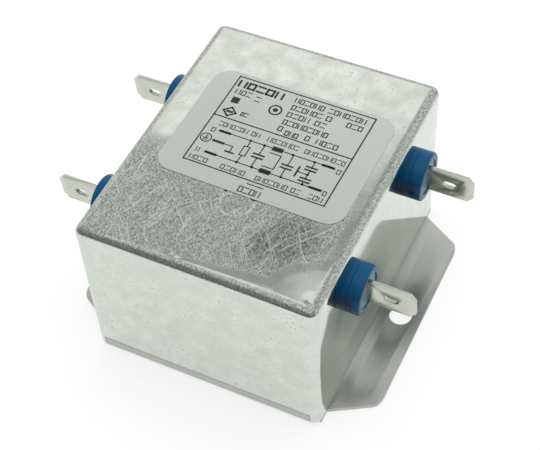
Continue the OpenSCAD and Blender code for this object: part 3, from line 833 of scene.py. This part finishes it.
for u_from, u_to, v in VALUE_ROWS:
    word(u_from, u_to, v, tall=1.1 * MM, pitch=0.9 * MM, pen=0.16 * MM)
word(0.44, 0.60, 1.105, tall=1.4 * MM, pitch=1.1 * MM)
polyline([(0.48, 1.035), (0.59, 1.035)])
# Places of the test marks: a plain square, a lozenge and a ring
stroke((0.045, 0.265), (0.10, 0.265), 1.5 * MM, square_ends=False)
polyline([(0.04, 0.40), (0.085, 0.35), (0.13, 0.40), (0.085, 0.45), (0.04, 0.40)], 0.34 * MM)
stroke((0.07, 0.40), (0.10, 0.40), 0.5 * MM)
word(0.16, 0.215, 0.385, tall=1.0 * MM, pitch=0.8 * MM)
ring(0.357, 0.235, 1.3 * MM, 0.32 * MM)
disc(0.357, 0.235, 0.5 * MM)
print("rows:", len(strokes), "strokes")

# %% Label print: frame and circuit
UPPER, LOWER = 0.62, 0.87
UPPER_NODES = (0.334, 0.432, 0.638, 0.791)
LOWER_NODES = (0.334, 0.443, 0.650, 0.800)
NODE_R = 0.27 * MM
COIL_TALL = 1.05 * MM
PLATE_PEN = 0.36 * MM

polyline([(0, 0), (1, 0), (1, 1), (0, 1), (0, 0)], RULE)
polyline([(0, 0.473), (1, 0.473)], RULE)
for line, nodes, coil in ((UPPER, UPPER_NODES, (0.490, 0.567)), (LOWER, LOWER_NODES, (0.495, 0.575))):
    polyline([(0.11, line), (0.92, line)])
    stroke((0.11, line), (0.178, line), BOLD)
    stroke((0.853, line), (0.925, line), BOLD)
    stroke((coil[0], line), (coil[1], line), COIL_TALL, square_ends=False)
    for u in nodes:
        disc(u, line, NODE_R)
LEADS = [
    # Earth: the sign in its round terminal, and the lead to its bar
    [(0.035, 0.735), (0.067, 0.735)], [(0.051, 0.705), (0.051, 0.735)],
    [(0.041, 0.752), (0.061, 0.752)], [(0.176, 0.735), (0.25, 0.735), (0.25, 0.79)],
    # Discharge resistor with its two leads
    [(0.334, UPPER), (0.337, 0.69)], [(0.337, 0.79), (0.334, LOWER)],
    [(0.317, 0.69), (0.357, 0.69), (0.357, 0.79), (0.317, 0.79), (0.317, 0.69)],
    # Two capacitors between the lines
    [(0.437, UPPER), (0.437, 0.73)], [(0.437, 0.764), (0.437, LOWER)],
    [(0.645, UPPER), (0.645, 0.74)], [(0.645, 0.774), (0.645, LOWER)],
    # The mark that couples the coils
    [(0.495, 0.672), (0.575, 0.672), (0.575, 0.822), (0.495, 0.822)],
    # Two capacitors to earth
    [(0.796, UPPER), (0.796, 0.685)], [(0.796, 0.717), (0.796, 0.808)],
    [(0.796, 0.840), (0.796, LOWER)], [(0.796, 0.762), (0.722, 0.762)],
]
for spots in LEADS:
    polyline(spots)
# Each bar of a capacitor or of earth: its middle and half its length
BARS = [(0.25, 0.80, 0.028), (0.437, 0.73, 0.036), (0.437, 0.764, 0.036), (0.645, 0.74, 0.036),
        (0.645, 0.774, 0.036), (0.797, 0.685, 0.035), (0.797, 0.717, 0.035), (0.797, 0.808, 0.035),
        (0.797, 0.840, 0.035)]
for u, v, half in BARS:
    stroke((u - half, v), (u + half, v), PLATE_PEN)
stroke((0.722, 0.712), (0.722, 0.812), PLATE_PEN)
stroke((0.11, 0.735), (0.176, 0.735), BOLD)
ring(0.051, 0.73, 1.1 * MM, THIN)
disc(0.796, 0.762, NODE_R)
print("with the circuit:", len(strokes), "strokes")

# %% [markdown]
# All strokes are joined into one piece and given the thickness of a layer of ink, so that it is a
# closed body, and then laid on the film with the film's own turn.

# %% Label print: one piece of ink
INK_GAP = 0.002 * MM

bpy.ops.object.select_all(action="DESELECT")
for made in strokes:
    made.select_set(True)
bpy.context.view_layer.objects.active = strokes[0]
bpy.ops.object.transform_apply(location=True, rotation=True, scale=True)
bpy.ops.object.join()
ink = bpy.context.object
ink.name = ink.data.name = "label_print"
finish_with(ink, "SOLIDIFY", thickness=INK, offset=1)
ink.data.transform(label_place @ Matrix.Translation((0, 0, label_thick + INK_GAP)))

black_ink, tree, shader, place = new_material("screen ink, near black")
cover = add_node(tree, "ShaderNodeTexNoise", {"Vector": place, "Scale": PER_MM / 0.5, "Detail": 3})
colour = add_node(tree, "ShaderNodeMix", {0: cover, 6: linear("#121416"), 7: linear("#242729")}, **COLOUR)
tree.links.new(colour.outputs[2], shader.inputs["Base Color"])
shader.inputs["Roughness"].default_value = 0.5
finish_piece(ink, black_ink, "label_film")

# %% [markdown]
# ## The bushings
#
# Each tab comes out through a moulded bushing: a short thick disc outside, a neck through the
# wall, a collar inside and a slot for the tab. It starts as a cylinder on the wall. A fine groove
# is cut round it with three slices, its outer face is rounded and set in, and its inner face is
# drawn out through the wall, step by step. It is modelled once, with its axis along X and the
# wall at x = 0, and copied to the four terminals.

# %% Bushing: the outer disc
BUSHING_EDGE = 0.35 * MM
GROOVE_AT = 1.0 * MM
GROOVE_W = 0.24 * MM
RECESS_R = 3.5 * MM
RECESS_RIM = 0.08 * MM
RECESS_DEPTH = 0.22 * MM
TAB_TURN = math.radians(5)
TAB_THICK = 0.8 * MM
SHANK_W = 4.2 * MM
FIT = 0.05 * MM
QUARTER = math.pi / 2

bushing_r = (bushing_high.z - bushing_low.z) / 2
bushing_l = bushing_high.x - wall_x
bushing = start(bpy.ops.mesh.primitive_cylinder_add, "bushing", vertices=96, radius=bushing_r,
                depth=bushing_l, location=(bushing_l / 2, 0, 0), rotation=(0, QUARTER, 0))
bpy.ops.object.transform_apply(location=True, rotation=True, scale=True)
bpy.ops.object.mode_set(mode="EDIT")
for groove_x in (GROOVE_AT - GROOVE_W / 2, GROOVE_AT, GROOVE_AT + GROOVE_W / 2):
    slice_at((groove_x, 0, 0), (1, 0, 0))
leave_edit()
pick(bushing, "VERT", lambda p: near(p.x, GROOVE_AT))
bottom = 1 - GROOVE_W / 2 / bushing_r
bpy.ops.transform.resize(value=(1, bottom, bottom), center_override=(0, 0, 0))
leave_edit()
pick(bushing, "EDGE", lambda a, b: near(a.x, bushing_l) and near(b.x, bushing_l))
bpy.ops.mesh.bevel(offset=BUSHING_EDGE, segments=4)
leave_edit()
pick(bushing, "FACE", lambda c, n: n.x > 0.99 and near(c.x, bushing_l))
bpy.ops.mesh.inset(thickness=bushing_r - BUSHING_EDGE - RECESS_R)
bpy.ops.mesh.inset(thickness=RECESS_RIM)
bpy.ops.mesh.extrude_region_move(TRANSFORM_OT_translate={"value": (-RECESS_DEPTH, 0, 0)})
leave_edit()
print("disc:", len(bushing.data.polygons), "faces")

# %% Bushing: neck, collar and slot
NECK_R = 3.2 * MM
COLLAR_R = 4.0 * MM
COLLAR_LENGTH = 1.8 * MM

pick(bushing, "FACE", lambda c, n: n.x < -0.99 and near(c.x, 0))
bpy.ops.mesh.inset(thickness=bushing_r - NECK_R)
bpy.ops.mesh.extrude_region_move(TRANSFORM_OT_translate={"value": (-SHEET, 0, 0)})
bpy.ops.mesh.extrude_region_move(TRANSFORM_OT_translate={"value": (0, 0, 0)})
bpy.ops.transform.resize(value=(1, COLLAR_R / NECK_R, COLLAR_R / NECK_R), center_override=(0, 0, 0))
bpy.ops.mesh.extrude_region_move(TRANSFORM_OT_translate={"value": (-COLLAR_LENGTH, 0, 0)})
leave_edit()
slot = box_between("cutter", Vector((-3 * bushing_l, -TAB_THICK / 2 - FIT, -SHANK_W / 2 - FIT)),
                   Vector((3 * bushing_l, TAB_THICK / 2 + FIT, SHANK_W / 2 + FIT)))
slot.data.transform(Matrix.Rotation(TAB_TURN, 4, "X"))
cut_away(bushing, slot)
smooth(bushing, 40)
print("bushing:", len(bushing.data.polygons), "faces")

# %% [markdown]
# ## The tabs
#
# A tab is stamped from tin-plated brass strip: a flat blade with its corners cut off and its tip
# coined thinner, so that it finds its way into a socket, an oblong hole for the socket's catch,
# and a narrower shank that runs back through the bushing.

# %% Tab
TAB_W = 6.3 * MM
TIP_CUT = 1.1 * MM
LEAD_IN = 0.9 * MM
LEAD_IN_DEPTH = 0.22 * MM
SLOT_FROM_TIP = 4.5 * MM
SLOT_L, SLOT_W = 2.6 * MM, 1.7 * MM
SLOT_ROUND = 0.49 * SLOT_W
STAMPED_EDGE = 0.06 * MM

reach = tab_high.x - wall_x
blade_from = bushing_l - RECESS_DEPTH
tab = box_between("tab", Vector((blade_from, -TAB_THICK / 2, -TAB_W / 2)),
                  Vector((reach, TAB_THICK / 2, TAB_W / 2)))
pick(tab, "EDGE", lambda a, b: near(a.x, reach) and near(b.x, reach) and near(a.z, b.z))
bpy.ops.mesh.bevel(offset=TIP_CUT, segments=1)
slice_at((reach - LEAD_IN, 0, 0), (1, 0, 0))
leave_edit()
pick(tab, "VERT", lambda p: near(p.x, reach))
bpy.ops.transform.resize(value=(1, 1 - 2 * LEAD_IN_DEPTH / TAB_THICK, 1), center_override=(0, 0, 0))
leave_edit()
pick(tab, "FACE", lambda c, n: n.x < -0.99 and near(c.x, blade_from))
bpy.ops.mesh.extrude_region_move(TRANSFORM_OT_translate={"value": (0, 0, 0)})
bpy.ops.transform.resize(value=(1, 1, SHANK_W / TAB_W), center_override=(0, 0, 0))
bpy.ops.mesh.extrude_region_move(
    TRANSFORM_OT_translate={"value": (tab_low.x - wall_x - blade_from, 0, 0)})
leave_edit()
catch_x = reach - SLOT_FROM_TIP
catch = box_between("cutter", Vector((catch_x - SLOT_L / 2, -TAB_THICK, -SLOT_W / 2)),
                    Vector((catch_x + SLOT_L / 2, TAB_THICK, SLOT_W / 2)))
pick(catch, "EDGE", lambda a, b: near(a.x, b.x) and near(a.z, b.z))
bpy.ops.mesh.bevel(offset=SLOT_ROUND, segments=8)
leave_edit()
cut_away(tab, catch)
finish_with(tab, "BEVEL", width=STAMPED_EDGE, segments=2, limit_method="ANGLE",
            angle_limit=math.radians(40))
smooth(tab, 40)
tab.data.transform(Matrix.Rotation(TAB_TURN, 4, "X"))
print("tab:", len(tab.data.polygons), "faces")

# %% [markdown]
# Moulded nylon is a deep, softly shining blue. Its colour is painted paler and greener at the
# crown of the disc, as painted light from above, and paler and greener at the rim, and it is
# nearly navy in its lower middle. The face inside the rim is painted pale, as a painted
# reflection of the white floor. The nylon's colour is therefore set by the distance from the
# can's wall, from the bushing's own axis and above that axis.

# %% Finish: moulded nylon
DRIFT = 0.25 * MM
RIM_FROM, RIM_FULLY = 2.0 * MM, 2.7 * MM
CROWN_HEIGHT = 3.6 * MM
FACE_BAND = (0.5 * MM, 0.3 * MM)

nylon, tree, shader, place = new_material("nylon, moulded blue")
folded = add_node(tree, "ShaderNodeVectorMath", {0: place}, operation="ABSOLUTE")
centre = (wall_x, terminal_y, terminal_z)
local = add_node(tree, "ShaderNodeVectorMath", {0: folded, 1: centre}, operation="SUBTRACT")
out = add_node(tree, "ShaderNodeSeparateXYZ", {0: local}).outputs["X"]
round_axis = add_node(tree, "ShaderNodeVectorMath", {0: local, 1: (0, 1, 1)}, operation="MULTIPLY")
radius = add_node(tree, "ShaderNodeVectorMath", {0: round_axis}, operation="LENGTH").outputs["Value"]
flow = add_node(tree, "ShaderNodeTexNoise", {"Vector": place, "Scale": PER_MM / 1.6, "Detail": 3})
drift = add_node(tree, "ShaderNodeMapRange", {0: flow, 3: -DRIFT, 4: DRIFT})
out_drift = add_node(tree, "ShaderNodeMath", {0: out, 1: drift}, operation="ADD")
rim = add_node(tree, "ShaderNodeMapRange", {0: out_drift, 1: RIM_FROM, 2: RIM_FULLY}, **SOFT)
crown = add_node(tree, "ShaderNodeSeparateXYZ", {0: local}).outputs["Z"]
lit = add_node(tree, "ShaderNodeMapRange", {0: crown, 1: 0, 2: CROWN_HEIGHT}, **SOFT)
# Paler, greener colour at the crown is painted light from above; the rim gets the same colour.
lit_crown_and_rim = add_node(tree, "ShaderNodeMath", {0: lit, 1: rim}, operation="MAXIMUM")
# The face inside the rim is painted pale: a painted reflection of the white floor.
inside = add_node(tree, "ShaderNodeMapRange", {0: radius, 1: RECESS_R + RECESS_RIM, 2: RECESS_R}, **SOFT)
at_face = add_node(tree, "ShaderNodeMapRange",
                   {0: out, 1: bushing_l - FACE_BAND[0], 2: bushing_l - FACE_BAND[1]})
painted_face_reflection = add_node(tree, "ShaderNodeMath", {0: inside, 1: at_face}, operation="MULTIPLY")
blue = add_node(tree, "ShaderNodeMix", {0: lit_crown_and_rim, 6: linear("#162f58"), 7: linear("#0a5480")}, **COLOUR)
colour = add_node(tree, "ShaderNodeMix", {0: painted_face_reflection, 6: blue.outputs[2], 7: linear("#5c8ca3")}, **COLOUR)
tree.links.new(colour.outputs[2], shader.inputs["Base Color"])
rough = add_node(tree, "ShaderNodeMapRange", {0: flow, 3: 0.22, 4: 0.34})
tree.links.new(rough.outputs[0], shader.inputs["Roughness"])
moulded = add_node(tree, "ShaderNodeTexNoise", {"Vector": place, "Scale": PER_MM / 0.5, "Detail": 2})
bump = add_node(tree, "ShaderNodeBump", {"Height": moulded, "Strength": 0.15, "Distance": 0.01 * MM})
tree.links.new(bump.outputs[0], shader.inputs["Normal"])
shader.inputs["IOR"].default_value = 1.53
shader.inputs["Specular IOR Level"].default_value = 0.15

# %% [markdown]
# Tin on brass is a touch warmer and duller than tin on steel. The strip was rolled along its
# length, which leaves very fine lines that way.

# %% Finish: tinned brass
brass, tree, shader, place = new_material("tinned brass, stamped")
tarnish = add_node(tree, "ShaderNodeTexNoise", {"Vector": place, "Scale": PER_MM / 3, "Detail": 3})
colour = add_node(tree, "ShaderNodeMix", {0: tarnish, 6: linear("#cdd1c4"), 7: linear("#bfc3b7")}, **COLOUR)
tree.links.new(colour.outputs[2], shader.inputs["Base Color"])
rough = add_node(tree, "ShaderNodeMapRange", {0: tarnish, 3: 0.20, 4: 0.30})
tree.links.new(rough.outputs[0], shader.inputs["Roughness"])
drawn = add_node(tree, "ShaderNodeMapping", {0: place, 3: (0.06, 1, 1)})
lines = add_node(tree, "ShaderNodeTexNoise", {"Vector": drawn, "Scale": PER_MM / 0.3, "Detail": 2})
bump = add_node(tree, "ShaderNodeBump", {"Height": lines, "Strength": 0.12, "Distance": 0.01 * MM})
tree.links.new(bump.outputs[0], shader.inputs["Normal"])
shader.inputs["Metallic"].default_value = 1

# %% [markdown]
# The two shapes are copied to the four terminals, each copy with its own mesh. On the line side
# they are mirrored, which turns a mesh inside out, so its faces are flipped back.

# %% Four terminals
SIDES = {"line": -1, "load": 1}
ROWS = {"neutral": 1, "live": -1}
SHAPES = {"bushing": (bushing, "moulded", nylon, "blue_plastic"),
          "tab": (tab, "stamped", brass, "tinned_brass")}
X_AXIS = Vector((1, 0, 0))

for side_name, side in SIDES.items():
    for row_name, row in ROWS.items():
        terminal = (Matrix.Translation((side * wall_x, row * terminal_y, terminal_z))
                    @ Matrix.Scale(side, 4, X_AXIS))
        for kind, (shape, how, material, slot_name) in SHAPES.items():
            node_name = f"{kind}_{side_name}_{row_name}"
            piece = shape.copy()
            piece.data = shape.data.copy()
            piece.name = piece.data.name = f"{how}_{node_name}"
            bpy.context.scene.collection.objects.link(piece)
            piece.data.transform(terminal)
            if side < 0:
                piece.data.flip_normals()
            finish_piece(piece, material, slot_name, node_name)
for shape in (bushing, tab):
    bpy.data.objects.remove(shape)

# %% [markdown]
# ## Inside the can
#
# The filter network is closed in, but it is part of the model, so its measured pieces keep their
# shape and get real finishes: sintered ferrite, enamelled copper, moulded capacitor cases, a
# lacquered resistor and cast resin. One table holds what differs between them: the finish's name,
# its two colours, roughness, whether it is metal, and the size of its pattern.

# %% Finishes of the inner pieces
INNER = {
    "ferrite": ("ferrite, sintered", "#2c2c2d", "#3a3a3a", 0.7, 0, 0.5),
    "divider_plastic": ("nylon, natural", "#ded8c6", "#e6e1d2", 0.45, 0, 1.0),
    "enamelled_copper": ("copper, enamelled", "#b5672f", "#8f4b20", 0.25, 1, 0.8),
    "yellow_plastic": ("polyester case, yellow", "#d9b54a", "#cfa93e", 0.4, 0, 0.6),
    "capacitor_blue": ("epoxy case, blue", "#26478c", "#1e3c7c", 0.4, 0, 0.6),
    "resistor_lacquer": ("resistor lacquer, tan", "#b89a6c", "#a98a5c", 0.3, 0, 0.4),
    "resin": ("epoxy resin, cast", "#1b1b1d", "#29292b", 0.35, 0, 1.5),
}
slot_of = {part["node"]: part["material_slot"] for part in frame["record"]["subparts"]}
inner_finishes = {}
for slot_name, (name, first, second, roughness, metallic, size) in INNER.items():
    material, tree, shader, place = new_material(name)
    pattern = add_node(tree, "ShaderNodeTexNoise", {"Vector": place, "Scale": PER_MM / size, "Detail": 3})
    colour = add_node(tree, "ShaderNodeMix", {0: pattern, 6: linear(first), 7: linear(second)}, **COLOUR)
    tree.links.new(colour.outputs[2], shader.inputs["Base Color"])
    bump = add_node(tree, "ShaderNodeBump", {"Height": pattern, "Strength": 0.2, "Distance": 0.02 * MM})
    tree.links.new(bump.outputs[0], shader.inputs["Normal"])
    shader.inputs["Roughness"].default_value = roughness
    shader.inputs["Metallic"].default_value = metallic
    inner_finishes[slot_name] = material
for name, node in frame["nodes"].items():
    if slot_of[name] in inner_finishes:
        for material_place in node.material_slots:
            material_place.material = inner_finishes[slot_of[name]]
        print(name, "->", inner_finishes[slot_of[name]].name)
